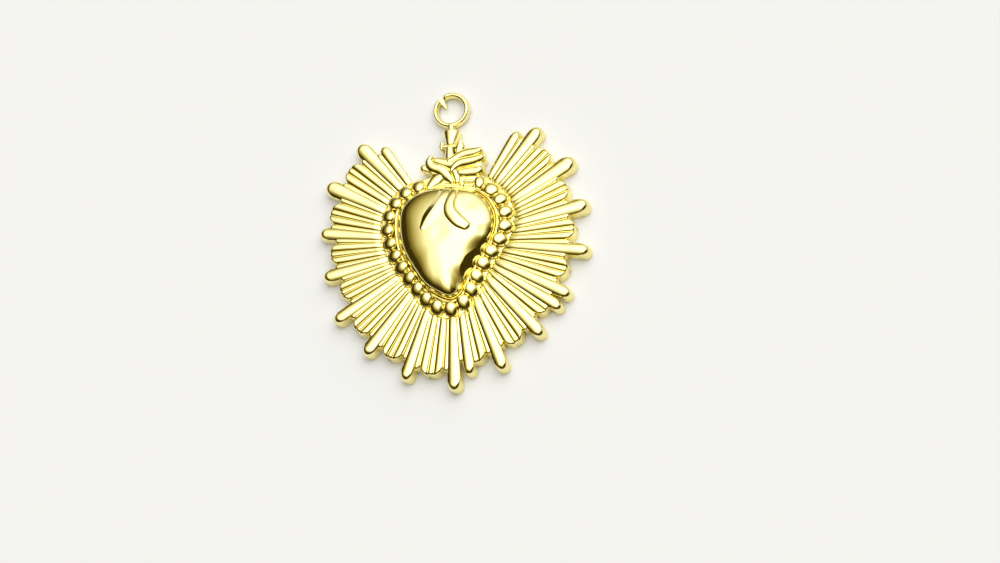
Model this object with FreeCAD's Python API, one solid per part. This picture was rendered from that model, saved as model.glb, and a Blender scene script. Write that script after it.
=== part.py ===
import FreeCAD, Part
import math
import os

V = FreeCAD.Vector

# A sacred heart pendant cast in one piece. Millimetres. The flat back lies on
# z = 0, the face looks along +Z and the hanging eye stands towards +Y. The
# rays fan out from the origin. Ray angles are in degrees from straight down,
# growing towards the right (+X).

# Fan of rays: fifteen long rays, two short ones and three thin ribs in every
# gap between them, and one more short ray beyond each end. The spread of a
# ray is the angle that its round end covers, seen from the origin.
LONG_PITCH = 20.0
LONG_REACH = (18.1, 18.2, 16.9, 16.5, 17.2, 17.3, 18.1, 18.9,
              18.0, 17.1, 16.8, 17.3, 17.3, 17.8, 17.6)
LONG_SPREAD = (6.0, 6.3, 5.4, 5.8, 5.1, 5.7, 4.9,
               5.0, 4.8, 5.1, 5.0, 5.1, 6.1, 6.6, 5.6)
SHORT_REACH = (16.9, 16.3, 15.4, 15.0, 15.8, 16.2, 17.0,
               16.0, 15.8, 15.4, 15.2, 15.4, 15.6, 16.0)
END_SHORT_REACH = 15.9
END_SHORT_STEP = 7.0
# Two of the short rays stand out from their pair: angle and reach.
PROUD_SHORTS = ((6.7, 17.2), (53.4, 16.7))
RAY_START = 4.8
LONG_START_WIDTH = 0.3
SHORT_START_WIDTH = 0.4
SHORT_SPREAD = 4.5
RAY_CREST = 1.95
SHORT_CREST = 1.85
RIB_CREST = 1.5
RIB_DROP = 0.4
RIB_WIDTH = 0.75
RIB_BACK = 0.6
CROWN_EASE = 1.1
CROWN_FACETS = 6
CROWN_TURN = 75
NOSE_LENGTH = 0.8
NOSE_DROP = 0.75
NOSE_FACETS = 3
NOSE_CLEARANCE = 0.05
END_FACETS = 8
TRIM_EASE = 0.3

# Band of beads round the heart. The path runs from the right of the flames
# down and round to their left.
BEAD_PATH = ((3.85, 7.1), (5.3, 5.9), (6.5, 4.3), (7.0, 2.2), (6.6, 0.3),
             (5.0, -2.1), (3.6, -4.2), (2.5, -6.5), (1.1, -8.4), (-0.7, -8.8),
             (-2.6, -7.8), (-4.6, -5.3), (-6.6, -2.2), (-7.7, 0.6),
             (-7.9, 3.1), (-7.1, 5.2), (-5.5, 6.8), (-3.9, 7.35))
BEAD_COUNT = 24
BEAD_RADIUS = 0.9
BEAD_LEAN = 0.35
BEAD_RISE = 0.12
BEAD_SIDES = 12
BEAD_TILTS = (-20, 10, 38, 65)
BAND_HALF_WIDTH = 0.98
BAND_TOP = 1.6
BAND_SIDES = 40

# Heart: outline of its foot, then a dome over it. The lower right flank,
# between two directions seen from the heart's centre, rises as a slope to a
# shoulder well inside the outline.
HEART_FOOT = ((-0.5, 7.05), (1.5, 6.7), (3.4, 5.95), (5.0, 4.3), (5.65, 2.4),
              (5.3, 0.3), (4.1, -1.8), (2.7, -3.75), (1.8, -5.3), (1.1, -6.9),
              (0.1, -7.5), (-1.4, -7.0), (-3.0, -5.9), (-5.0, -3.2),
              (-6.2, -0.7), (-6.65, 2.3), (-6.2, 5.0), (-4.4, 6.6), (-2.4, 7.1))
HEART_CENTRE = (-0.6, 0.0)
HEART_RISE = 2.6
HEART_POWER = 2.4
HEART_SIDES = 56
HEART_STEPS = (0.0, 0.025, 0.07, 0.15, 0.27, 0.44, 0.66)
SHOULDER = 0.15
SHOULDER_RISE = 0.58
FLANK_WIDTH = 1.1
FLANK_START = -72.0
FLANK_START_EASE = 5.0
FLANK_END = -24.0
FLANK_END_EASE = 12.0
RIM_WIDTH = 0.28
RIM_GAP = 0.1
RIM_RISE = 0.4
RIM_SIDES = 36
SINK = 0.1

# Two raised strands that run down over the heart from its top. Each is its
# middle line with the half width at every point.
STRAND_RISE = 0.3
LEFT_STRAND = ((-0.15, 6.5, 0.3), (-0.35, 5.2, 0.45), (-0.85, 4.2, 0.6), (-1.6, 3.1, 0.75),
               (-2.3, 2.2, 0.75), (-2.8, 1.4, 0.5))
RIGHT_STRAND = ((0.75, 6.45, 0.45), (0.7, 5.4, 0.6), (0.42, 4.3, 0.68), (0.4, 3.4, 0.8),
                (0.95, 2.35, 0.84), (1.7, 1.55, 0.82), (2.3, 1.1, 0.68))

# Flames over the heart. Each tongue is its middle line with the half width at
# every point, then the height of its crest.
FLAME_SIDE = 1.45
TONGUES = (
    # right side, top to bottom
    (((0.0, 10.15, 0.3), (0.75, 10.5, 0.42), (1.55, 10.85, 0.52), (2.35, 11.0, 0.55),
      (3.1, 11.05, 0.5), (3.8, 11.2, 0.3)), 2.4),
    (((0.35, 8.9, 0.2), (0.75, 9.45, 0.42), (1.35, 9.8, 0.52), (2.05, 9.9, 0.55),
      (3.05, 10.0, 0.48), (4.05, 10.2, 0.32)), 2.5),
    (((1.35, 8.6, 0.5), (1.9, 8.6, 0.66), (2.6, 8.6, 0.68), (3.3, 8.6, 0.6),
      (3.7, 8.7, 0.48)), 2.38),
    # left side: the hooked tongue, the one over it and the petal under it
    (((-2.1, 11.05, 0.14), (-2.5, 10.7, 0.28), (-2.6, 10.15, 0.38), (-2.2, 9.7, 0.48),
      (-1.5, 9.6, 0.56), (-0.9, 9.3, 0.6), (-0.45, 8.75, 0.58), (-0.05, 8.15, 0.46),
      (0.45, 7.45, 0.2)), 2.5),
    (((-1.7, 10.6, 0.24), (-0.95, 10.35, 0.42), (-0.2, 10.1, 0.5), (0.5, 10.1, 0.45),
      (1.1, 10.35, 0.3)), 2.28),
    (((-2.5, 7.2, 0.3), (-2.0, 7.7, 0.56), (-1.5, 8.1, 0.7), (-1.05, 8.4, 0.55)), 2.3),
    # drop below the meeting point of the tongues
    (((0.6, 8.85, 0.3), (0.85, 8.2, 0.46), (1.0, 7.4, 0.3)), 2.35),
)
FLAME_BALLS = ((-3.3, 9.8, 0.5, 1.9), (1.45, 7.1, 0.36, 2.0))
FLAME_BED_TOP = 1.6
FLAME_BED = ((-2.7, 6.3), (-2.9, 7.2), (-2.2, 8.6), (-2.8, 9.2), (-3.6, 9.6),
             (-2.7, 10.4), (-1.2, 10.6), (0.2, 10.9), (1.8, 11.1), (3.6, 11.1),
             (4.0, 10.0), (3.9, 8.6), (3.3, 7.4), (3.3, 6.4), (0.4, 5.6))

# Cross. Its arms are given like the tongues, measured from the crossing, and
# its foot stands in the flames.
CROSSING = (0.0, 12.2)
CROSS_FOOT = (0.0, 10.5, 0.54)
CROSS_SIDE = 1.35
CROSS_ARMS = (
    (((0.1, 0.3, 0.52), (0.12, 0.8, 0.66), (0.15, 1.4, 0.86), (0.17, 2.0, 1.0)), 2.1, 0.3),
    (((-0.98, 0.55, 0.2), (-1.02, 0.2, 0.3), (-1.04, -0.15, 0.2)), 1.85, 1.0),
    (((1.45, 0.55, 0.14), (1.32, 0.2, 0.42), (1.22, -0.25, 0.52), (1.05, -0.7, 0.38),
      (0.97, -1.0, 0.12)), 2.0, 0.8),
    (((-0.85, 0.08, 0.24), (0.0, 0.04, 0.26), (1.0, 0.0, 0.24)), 1.9, 0.5),
)
CROSS_LEG = ((0.02, -0.2, 0.44), (0.0, -0.8, 0.5))
CROSS_LEG_TOP = 2.15
CROSS_LEG_BLUNT = 0.5
STEM_WIDTH = 0.86
STEM_TOP = 1.3

# Section of a tongue, as parts of its half width and of its arch's height.
ARCH = ((-1.0, 0.0), (-0.62, 0.8), (0.0, 1.0), (0.62, 0.8), (1.0, 0.0))
TIP_REACH = 0.75
TIP_WIDTH = 0.55
TIP_HEIGHT = 0.65

# Hanging eye.
EYE_CENTRE = (0.03, 17.28)
EYE_OUTER = 2.3
EYE_HOLE = 3.3
EYE_THICKNESS = 1.2
EYE_CHAMFER = 0.2
BARB_ANGLE = 128.0
BARB_LENGTH = 1.1
BARB_WIDTH = 0.75
BARB_TIP_WIDTH = 0.25
BARB_FOOT = 0.1
BARB_TOP = 0.9
NICK_DEPTH = 0.3
NICK_WIDTH = 1.1

# Cutting shapes run this far past what they cut.
OVER = 1.0
TURN_DOWN = -90


def closed_curve(points, z=0.0):
    """Smooth closed wire through plan points."""
    spline = Part.BSplineCurve()
    spline.interpolate([V(x, y, z) for x, y in points], PeriodicFlag=True)
    return Part.Wire([spline.toShape()])


def polygon(points, z=0.0):
    corners = [V(x, y, z) for x, y in points]
    return Part.makePolygon(corners + corners[:1])


def flat_face(corners):
    return Part.Face(Part.makePolygon(corners + corners[:1]))


def inward(points, distance):
    """The closed outline moved inwards by a distance at every point."""
    moved = []
    count = len(points)
    area = sum(points[i - 1][0] * points[i][1] - points[i][0] * points[i - 1][1]
               for i in range(count))
    side = 1.0 if area > 0 else -1.0
    for i in range(count):
        before = points[i - 1]
        after = points[(i + 1) % count]
        dx = after[0] - before[0]
        dy = after[1] - before[1]
        size = math.hypot(dx, dy)
        moved.append((points[i][0] - side * distance * dy / size,
                      points[i][1] + side * distance * dx / size))
    return moved


def slab(wire, z0, z1):
    plate = Part.Face(wire).extrude(V(0, 0, z1 - z0))
    plate.translate(V(0, 0, z0))
    return plate


def end_radius(reach, spread):
    """Radius of the round end of a ray that spreads from the origin."""
    half = math.radians(spread / 2)
    return reach * math.sin(half) / (1 + math.sin(half))


def rounded_wedge(reach, spread, start, start_width):
    """Plan of a ray along +X: it widens from its start to its round end."""
    radius = end_radius(reach, spread)
    centre = reach - radius
    near = start_width / 2
    away = math.hypot(centre - start, near)
    slant = math.asin(radius / away) - math.atan2(near, centre - start)
    turn = math.pi / 2 + slant
    outline = [(start, -near), (start, near)]
    for i in range(END_FACETS + 1):
        a = turn - 2 * turn * i / END_FACETS
        outline.append((centre + radius * math.cos(a), radius * math.sin(a)))
    return polygon(outline)


def flat_wedge(reach, spread, start):
    """Plan of a ray along +X with a square end."""
    half = math.radians(spread / 2)
    t = math.tan(half)
    return polygon([(start, start * t), (start, -start * t),
                    (reach, -reach * t), (reach, reach * t)])


def arched_bar(reach, crown, crest):
    """Bar along +X whose top is a facetted arch of the crown's radius."""
    corners = []
    for i in range(CROWN_FACETS + 1):
        a = math.radians(CROWN_TURN) * (2 * i / CROWN_FACETS - 1)
        corners.append(V(0, crown * math.sin(a), crest - crown * (1 - math.cos(a))))
    half = crown * math.sin(math.radians(CROWN_TURN))
    corners += [V(0, half, 0), V(0, -half, 0)]
    section = flat_face(corners)
    section.translate(V(RAY_START - OVER, 0, 0))
    return section.extrude(V(reach + 2 * OVER - RAY_START, 0, 0))


def nose_profile(reach, crest):
    """Side view that rounds the far end of a ray downwards."""
    corners = [V(RAY_START - OVER, 0, -OVER), V(RAY_START - OVER, 0, crest + OVER),
               V(reach - NOSE_LENGTH, 0, crest + OVER)]
    for i in range(NOSE_FACETS + 1):
        a = math.pi / 2 * i / NOSE_FACETS
        corners.append(V(reach - NOSE_LENGTH * (1 - math.sin(a)) + NOSE_CLEARANCE, 0,
                         crest - NOSE_DROP * (1 - math.cos(a)) + NOSE_CLEARANCE))
    corners.append(V(reach + NOSE_CLEARANCE, 0, -OVER))
    profile = flat_face(corners)
    profile.translate(V(0, -reach / 2, 0))
    return profile.extrude(V(0, reach, 0))


def turned(shape, angle):
    copy = shape.copy()
    copy.rotate(V(0, 0, 0), V(0, 0, 1), angle + TURN_DOWN)
    return copy


def ray(reach, spread, start_width, crest):
    """One ray along +X: widening sides, arched top and a rounded end."""
    crown = end_radius(reach, spread) * CROWN_EASE
    blade = slab(rounded_wedge(reach, spread, RAY_START, start_width), 0, crest + OVER)
    blade = blade.common(arched_bar(reach, crown, crest))
    return blade.common(nose_profile(reach, crest))


def rib(reach):
    """Thin ridge that fills the valley between two rays."""
    half = RIB_WIDTH / 2
    section = flat_face([V(RAY_START, -half, 0), V(RAY_START, half, 0),
                         V(RAY_START, half, RIB_CREST - RIB_DROP),
                         V(RAY_START, 0, RIB_CREST),
                         V(RAY_START, -half, RIB_CREST - RIB_DROP)])
    return section.extrude(V(reach - RAY_START, 0, 0))


def short_pair(reach, pitch):
    """Two short rays and the rib between them, ended by one round arch."""
    over = reach + OVER
    crown = end_radius(reach, SHORT_SPREAD) * CROWN_EASE
    parts = [rib(over)]
    for side in (-1, 1):
        blade = slab(flat_wedge(over, SHORT_SPREAD, RAY_START), 0, SHORT_CREST + OVER)
        blade = blade.common(arched_bar(over, crown, SHORT_CREST))
        blade.rotate(V(0, 0, 0), V(0, 0, 1), side * pitch / 6)
        parts.append(blade)
    both = parts[0].multiFuse(parts[1:])
    spread = pitch / 3 + SHORT_SPREAD + TRIM_EASE
    near = RAY_START - OVER
    opening = 2 * near * math.tan(math.radians(spread / 2))
    arch = slab(rounded_wedge(reach, spread, near, opening), -OVER, SHORT_CREST + OVER)
    return both.common(arch)


def fan():
    """All rays and ribs, as a list of overlapping solids."""
    solids = []
    last = (len(LONG_REACH) - 1) / 2
    for i, reach in enumerate(LONG_REACH):
        long_ray = ray(reach, LONG_SPREAD[i], LONG_START_WIDTH, RAY_CREST)
        solids.append(turned(long_ray, (i - last) * LONG_PITCH))
    for i, reach in enumerate(SHORT_REACH):
        middle = (i - last + 0.5) * LONG_PITCH
        solids.append(turned(short_pair(reach, LONG_PITCH), middle))
        for side in (-1, 1):
            solids.append(turned(rib(reach - RIB_BACK), middle + side * LONG_PITCH / 3))
    for side in (-1, 1):
        edge = side * last * LONG_PITCH
        single = ray(END_SHORT_REACH, SHORT_SPREAD, SHORT_START_WIDTH, SHORT_CREST)
        solids.append(turned(single, edge + side * END_SHORT_STEP))
        solids.append(turned(rib(END_SHORT_REACH - RIB_BACK), edge + side * END_SHORT_STEP / 2))
    for angle, reach in PROUD_SHORTS:
        solids.append(turned(ray(reach, SHORT_SPREAD, SHORT_START_WIDTH, SHORT_CREST), angle))
    return solids


def bead(x, y):
    """Ball whose foot is sunk in the band and whose top leans to the heart."""
    dx = HEART_CENTRE[0] - x
    dy = HEART_CENTRE[1] - y
    lean = BEAD_LEAN / math.hypot(dx, dy)
    rings = []
    for tilt in BEAD_TILTS:
        radius = BEAD_RADIUS * math.cos(math.radians(tilt))
        up = BEAD_RADIUS * math.sin(math.radians(tilt))
        cx = x + dx * lean * up
        cy = y + dy * lean * up
        ring = []
        for i in range(BEAD_SIDES):
            a = 2 * math.pi * i / BEAD_SIDES
            ring.append(V(cx + radius * math.cos(a), cy + radius * math.sin(a),
                          BAND_TOP + BEAD_RISE + up))
        rings.append(ring)
    faces = [flat_face(rings[0]), flat_face(rings[-1])]
    for low, high in zip(rings, rings[1:]):
        for i in range(BEAD_SIDES):
            faces.append(flat_face([low[i - 1], low[i], high[i], high[i - 1]]))
    return Part.Solid(Part.Shell(faces))


def bead_band():
    """Raised band round the heart with its row of beads."""
    path = Part.BSplineCurve()
    path.interpolate([V(x, y, 0) for x, y in BEAD_PATH])
    first, last = path.FirstParameter, path.LastParameter
    outer = []
    for i in range(BAND_SIDES + 1):
        u = first + (last - first) * i / BAND_SIDES
        p = path.value(u)
        t = path.tangent(u)[0]
        outer.append((p.x - t.y * BAND_HALF_WIDTH, p.y + t.x * BAND_HALF_WIDTH))
    band = slab(polygon(outer), 0, BAND_TOP)
    row = path.toShape().discretize(Number=BEAD_COUNT)
    return [band] + [bead(p.x, p.y) for p in row]


def flank(angle):
    """How much of the sloped flank a direction has, from 0 to 1."""
    degrees = math.degrees(angle)
    begun = 1 / (1 + math.exp(4 * (FLANK_START - degrees) / FLANK_START_EASE))
    return begun / (1 + math.exp(4 * (degrees - FLANK_END) / FLANK_END_EASE))


def heart_dome(base):
    """The dome as rings of points, from its foot to its crown."""
    cx, cy = HEART_CENTRE
    foot_line = closed_curve(HEART_FOOT).discretize(Number=HEART_SIDES + 1)[:-1]
    rings = []
    for inset in HEART_STEPS:
        ring = []
        for p in foot_line:
            reach = math.hypot(p.x - cx, p.y - cy)
            part = flank(math.atan2(p.y - cy, p.x - cx))
            round_rise = (1 - (1 - inset) ** HEART_POWER) ** (1 / HEART_POWER)
            beyond = max(inset - SHOULDER, 0) / (1 - SHOULDER)
            slope = (SHOULDER_RISE * min(inset / SHOULDER, 1)
                     + (1 - SHOULDER_RISE) * (1 - (1 - beyond) ** HEART_POWER))
            drawn = max(FLANK_WIDTH - SHOULDER * reach, 0) * part
            drawn *= min(inset / SHOULDER, (1 - inset) / (1 - SHOULDER))
            away = 1 - inset - drawn / reach
            ring.append(V(cx + (p.x - cx) * away, cy + (p.y - cy) * away,
                          base + HEART_RISE * (round_rise * (1 - part) + slope * part)))
        rings.append(ring)
    faces = [flat_face(rings[0])]
    crown = V(cx, cy, base + HEART_RISE)
    for low, high in zip(rings, rings[1:]):
        for i in range(HEART_SIDES):
            faces.append(flat_face([low[i - 1], low[i], high[i]]))
            faces.append(flat_face([low[i - 1], high[i], high[i - 1]]))
    top = rings[-1]
    for i in range(HEART_SIDES):
        faces.append(flat_face([top[i - 1], top[i], crown]))
    return Part.Solid(Part.Shell(faces))


def headings(points):
    """Unit directions of a middle line at each of its points."""
    found = []
    for i in range(len(points)):
        before = points[max(i - 1, 0)]
        after = points[min(i + 1, len(points) - 1)]
        dx = after[0] - before[0]
        dy = after[1] - before[1]
        size = math.hypot(dx, dy)
        found.append((dx / size, dy / size))
    return found


def ribbon(points):
    """Outline round a middle line, with a rounded far end."""
    ahead = headings(points)
    left = [(x - ty * half, y + tx * half) for (x, y, half), (tx, ty) in zip(points, ahead)]
    right = [(x + ty * half, y - tx * half) for (x, y, half), (tx, ty) in zip(points, ahead)]
    x, y, half = points[-1]
    tx, ty = ahead[-1]
    end = []
    for a in (math.radians(60), math.radians(20), math.radians(-20), math.radians(-60)):
        out = half * math.cos(a)
        side = half * math.sin(a)
        end.append((x + tx * out - ty * side, y + ty * out + tx * side))
    return left + end + right[::-1]


def heart():
    base = BAND_TOP - SINK
    dome = heart_dome(base)
    raised = heart_dome(base + STRAND_RISE)
    pieces = [dome]
    for line in (LEFT_STRAND, RIGHT_STRAND):
        strand = slab(polygon(ribbon(line)), base + STRAND_RISE, base + HEART_RISE + OVER)
        pieces.append(strand.common(raised))
    foot_line = closed_curve(HEART_FOOT).discretize(Number=RIM_SIDES + 1)[:-1]
    edge = [(p.x, p.y) for p in foot_line]
    outer = slab(polygon(inward(edge, -RIM_GAP - RIM_WIDTH)), BAND_TOP - SINK, BAND_TOP + RIM_RISE)
    inner = slab(polygon(inward(edge, -RIM_GAP)), BAND_TOP - OVER, BAND_TOP + RIM_RISE + OVER)
    pieces.append(outer.cut(inner))
    return pieces


def tongue(points, top, side, blunt=1.0):
    """Upright solid along a middle line, arched over and drawn in at both ends."""
    ahead = headings(points)
    stations = [(x, y, half, 1.0, tx, ty) for (x, y, half), (tx, ty) in zip(points, ahead)]
    for end, sign, place in ((0, -1, 0), (-1, 1, len(stations) + 1)):
        x, y, half = points[end]
        tx, ty = ahead[end]
        out = sign * half * TIP_REACH * blunt
        narrow = TIP_WIDTH ** blunt
        stations.insert(place, (x + tx * out, y + ty * out, half * narrow, TIP_HEIGHT, tx, ty))
    rows = []
    for x, y, half, height, tx, ty in stations:
        row = [V(x + ty * half, y - tx * half, 0), V(x - ty * half, y + tx * half, 0)]
        for v, rise in reversed(ARCH):
            row.append(V(x - ty * v * half, y + tx * v * half,
                         side + (top - side) * rise * height))
        rows.append(row)
    faces = [flat_face(rows[0]), flat_face(rows[-1])]
    for near, far in zip(rows, rows[1:]):
        faces.append(flat_face([near[0], far[0], far[1], near[1]]))
        faces.append(flat_face([near[1], far[1], far[2], near[2]]))
        faces.append(flat_face([near[-1], far[-1], far[0], near[0]]))
        for i in range(2, len(near) - 1):
            faces.append(flat_face([near[i], far[i], far[i + 1]]))
            faces.append(flat_face([near[i], far[i + 1], near[i + 1]]))
    return Part.Solid(Part.Shell(faces))


def flames():
    pieces = [slab(polygon(FLAME_BED), 0, FLAME_BED_TOP)]
    for points, top in TONGUES:
        pieces.append(tongue(points, top, FLAME_SIDE))
    for x, y, radius, top in FLAME_BALLS:
        pieces.append(Part.makeCylinder(radius, top, V(x, y, 0)))
    return pieces


def from_crossing(points):
    return [(x + CROSSING[0], y + CROSSING[1], half) for x, y, half in points]


def cross():
    pieces = []
    for points, top, blunt in CROSS_ARMS:
        pieces.append(tongue(from_crossing(points), top, CROSS_SIDE, blunt))
    leg = from_crossing(CROSS_LEG) + [CROSS_FOOT]
    pieces.append(tongue(leg, CROSS_LEG_TOP, CROSS_SIDE, CROSS_LEG_BLUNT))
    return pieces


def eye():
    cx, cy = EYE_CENTRE
    bore = EYE_HOLE / 2
    edge = EYE_THICKNESS - EYE_CHAMFER
    section = [V(bore, 0, 0), V(EYE_OUTER, 0, 0), V(EYE_OUTER, 0, edge),
               V(EYE_OUTER - EYE_CHAMFER, 0, EYE_THICKNESS),
               V(bore + EYE_CHAMFER, 0, EYE_THICKNESS), V(bore, 0, edge)]
    band = flat_face(section).revolve(V(0, 0, 0), V(0, 0, 1), 360)
    nick = Part.makeBox(NICK_DEPTH + OVER, NICK_WIDTH, EYE_THICKNESS + 2 * OVER,
                        V(EYE_OUTER - NICK_DEPTH, -NICK_WIDTH / 2, -OVER))
    root = (bore + EYE_OUTER) / 2
    tip = bore - BARB_LENGTH
    barb = slab(polygon([(root, -BARB_WIDTH / 2), (root, BARB_WIDTH / 2),
                         (tip, BARB_TIP_WIDTH / 2), (tip, -BARB_TIP_WIDTH / 2)]),
                BARB_FOOT, BARB_TOP)
    for shape in (nick, barb):
        shape.rotate(V(0, 0, 0), V(0, 0, 1), BARB_ANGLE)
    ring = band.cut(nick).fuse(barb)
    ring.translate(V(cx, cy, 0))
    low = CROSS_FOOT[1]
    high = cy - (bore + EYE_OUTER) / 2
    half = STEM_WIDTH / 2
    stem = slab(polygon([(cx - half, low), (cx + half, low), (cx + half, high),
                         (cx - half, high)]), 0, STEM_TOP)
    return [ring, stem]


solids = fan() + bead_band() + heart() + flames() + cross() + eye()
body = solids[0].multiFuse(solids[1:])
pendant = body.removeSplitter()
if len(pendant.Solids) == 1:
    pendant = pendant.Solids[0]

os.makedirs("parts", exist_ok=True)
pendant.exportStep("parts/pendant.step")
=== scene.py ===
import math

import bmesh
import bpy
import numpy as np
from mathutils import Matrix, Vector


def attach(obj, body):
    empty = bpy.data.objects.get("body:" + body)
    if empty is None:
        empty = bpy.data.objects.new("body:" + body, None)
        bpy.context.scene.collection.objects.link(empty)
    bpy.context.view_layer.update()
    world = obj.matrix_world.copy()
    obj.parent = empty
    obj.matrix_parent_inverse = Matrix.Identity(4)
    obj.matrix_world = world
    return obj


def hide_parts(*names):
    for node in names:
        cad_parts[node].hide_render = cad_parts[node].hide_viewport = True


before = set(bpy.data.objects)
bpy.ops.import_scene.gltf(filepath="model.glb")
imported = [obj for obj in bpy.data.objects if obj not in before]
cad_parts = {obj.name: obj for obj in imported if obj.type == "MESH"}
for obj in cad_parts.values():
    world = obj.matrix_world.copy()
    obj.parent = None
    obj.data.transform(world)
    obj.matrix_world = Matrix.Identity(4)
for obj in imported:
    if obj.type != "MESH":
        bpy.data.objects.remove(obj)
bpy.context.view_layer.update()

# The looks of the sacred heart pendant. Shapes are written in millimetres in
# the frame's own axes and turned into metres when a mesh is made.
MM = 0.001
SHARP_ANGLE = 38.0
MERGE_DISTANCE = 2e-7
SLIVER_EDGE = 1e-7
CURVE_STEPS = 2000
TABLE_STEPS = 200

# The forms overlap like the lumps of one casting. Each form's flat foot has its
# own tiny height over the back plane, so that no two faces coincide.
FAN_FOOT = 0.06
PLATE_FOOT = 0.0
BAND_FOOT = 0.01
HEART_FOOT = 0.3
FLAME_FOOT = 0.02
EYE_FOOT = 0.035

# Fan of rays: fifteen long rays, two short ones and three ribs in every gap, and
# a short one beyond each end. Angles are in degrees from straight down, growing
# to the right. A spread is the angle that a round end covers, seen from the origin.
LONG_PITCH = 20.0
LONG_REACH = (18.1, 18.2, 16.9, 16.5, 17.2, 17.3, 18.1, 18.9,
              18.0, 17.1, 16.8, 17.3, 17.3, 17.8, 17.6)
LONG_SPREAD = (6.0, 6.3, 5.4, 5.8, 5.1, 5.7, 4.9,
               5.0, 4.8, 5.1, 5.0, 5.1, 6.1, 6.6, 5.6)
SHORT_REACH = (16.9, 16.3, 15.4, 15.0, 15.8, 16.2, 17.0,
               16.0, 15.8, 15.4, 15.2, 15.4, 15.6, 16.0)
END_SHORT_REACH = 15.9
END_SHORT_STEP = 7.0
# Two of the short rays stand out from their pair: angle and reach.
PROUD_SHORTS = ((6.7, 17.2), (53.4, 16.7))
# How far outside the row of beads the rays start, and how they dip there.
ROOT_OUT = 0.9
ROOT_DROP = 0.12
ROOT_EASE = 0.03
LONG_START_WIDTH = 0.95
SHORT_START_WIDTH = 0.8
# Rays with straight sides are a little wider than their spread.
CLUB_WIDER = 1.1
SHORT_SPREAD = 4.5
RIB_SPREAD = 2.8
RAY_CREST = 1.95
SHORT_CREST = 1.9
PROUD_RISE = 0.03
RIB_CREST = 1.8
# A form's edges lie below its crest by this share of its half width.
RAY_RELIEF = 0.36
RIB_RELIEF = 0.45
RAY_POWER = 2.3
RIB_BACK = 0.6
MIDDLE_RIB_BACK = 0.12
TRIM_EASE = 0.3
LONG_NOSE = 0.8
SHORT_NOSE = 0.4
RIB_NOSE = 0.4
LONG_NOSE_DROP = 0.95
SHORT_NOSE_DROP = 0.45
RIB_NOSE_DROP = 0.35
RAY_COLUMNS = 22
RIB_COLUMNS = 12
RAY_STATIONS = 6
NOSE_STATIONS = 10
PLATE_TOP = 0.5
PLATE_STEP = 0.1
PLATE_SHARE = 0.92
PLATE_INSET = 0.02
PLATE_BEVEL = 0.05
PLATE_INNER_REACH = 6.2
PLATE_USUAL_REACH = 14.0

# Beads and their band.
BEAD_PATH = ((3.85, 7.1), (5.3, 5.9), (6.5, 4.3), (7.0, 2.2), (6.6, 0.3),
             (5.0, -2.1), (3.6, -4.2), (2.5, -6.5), (1.1, -8.4), (-0.7, -8.8),
             (-2.6, -7.8), (-4.6, -5.3), (-6.6, -2.2), (-7.7, 0.6),
             (-7.9, 3.1), (-7.1, 5.2), (-5.5, 6.8), (-3.9, 7.35))
BEAD_COUNT = 24
BEAD_RADIUS = 0.9
# The two beads beside the flames are oval: shift, half width, half length, turn.
OVAL_BEADS = ((-0.05, 0.7, 0.98, 8), (0.0, 1.05, 0.9, -40))
# How far a bead leans towards the heart for each unit of its height.
BEAD_LEAN = 0.55
BEAD_HEIGHT = 0.7
BEAD_RISE = 0.4
BAND_HALF_WIDTH = 0.98
BAND_TOP = 1.6
BAND_STEPS = 41
COLLAR_RADIUS = 1.08
COLLAR_TOP = 1.5
# Neighbouring collars differ by these heights, so that no two faces coincide.
COLLAR_STAGGER = 0.01
COLLAR_FOOT_STAGGER = 0.002

# Heart: a dome over its outline. The lower right flank, between two directions
# seen from the heart's centre, rises as a slope to a shoulder inside the outline.
HEART_OUTLINE = ((-0.5, 7.05), (1.5, 6.7), (3.4, 5.95), (5.0, 4.3), (5.65, 2.4),
                 (5.3, 0.3), (4.1, -1.8), (2.7, -3.75), (1.8, -5.3), (1.1, -6.9),
                 (0.1, -7.5), (-1.4, -7.0), (-3.0, -5.9), (-5.0, -3.2),
                 (-6.2, -0.7), (-6.65, 2.3), (-6.2, 5.0), (-4.4, 6.6), (-2.4, 7.1))
HEART_CENTRE = (-1.3, -0.7)
HEART_BASE = 1.5
HEART_RISE = 2.6
HEART_POWER = 2.4
# Direction in degrees, and how square the dome's edge is there, most at the tip.
TIP_POWER = ((-180, 2.4), (-165, 2.42), (-145, 2.6), (-125, 3.0), (-105, 3.6), (-90, 3.9),
             (-78, 3.9), (-66, 3.4), (-54, 2.7), (-42, 2.42), (-30, 2.4))
SHOULDER = 0.15
FLANK_SLOPE = 1.0
FLANK_STEP = 0.2
# Direction, how far inside the outline the shoulder lies there, and how much of a
# flank that side is.
FLANK = ((-122, 0.9, 0.0), (-98, 0.8, 0.0), (-84, 0.6, 0.0), (-76, 0.5, 0.0),
         (-70, 0.42, 0.3), (-65, 0.45, 0.75), (-60, 0.7, 1.0), (-54, 1.0, 1.0),
         (-42, 1.1, 1.0), (-30, 1.15, 1.0), (-18, 1.0, 1.0), (-7, 0.75, 0.85),
         (4, 0.7, 0.4), (14, 0.9, 0.0), (28, 0.9, 0.0))
OUTLINE_STEPS = 720
DOME_SIDES = 560
# Rings of the dome: many close to its foot, then even ones nearly to its centre.
DOME_FOOT_RINGS = 12
DOME_FOOT_PART = 0.1
DOME_RINGS = 90
DOME_TOP_PART = 0.985
INSET_STEPS = 401
INSET_POWER = 1.5
# Shallow hollows of the hand-worked surface: place, reach and depth.
HOLLOWS = ((3.0, 4.4, 1.4, 0.2), (4.2, 0.5, 0.8, 0.2), (-0.8, 0.5, 0.9, 0.06), (0.8, -2.6, 0.7, 0.07))
RIM_RADIUS = 0.2
RIM_GAP = 0.22
RIM_HEIGHT = 1.84
RIM_STEPS = 260
RIM_SIDES = 12

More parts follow.
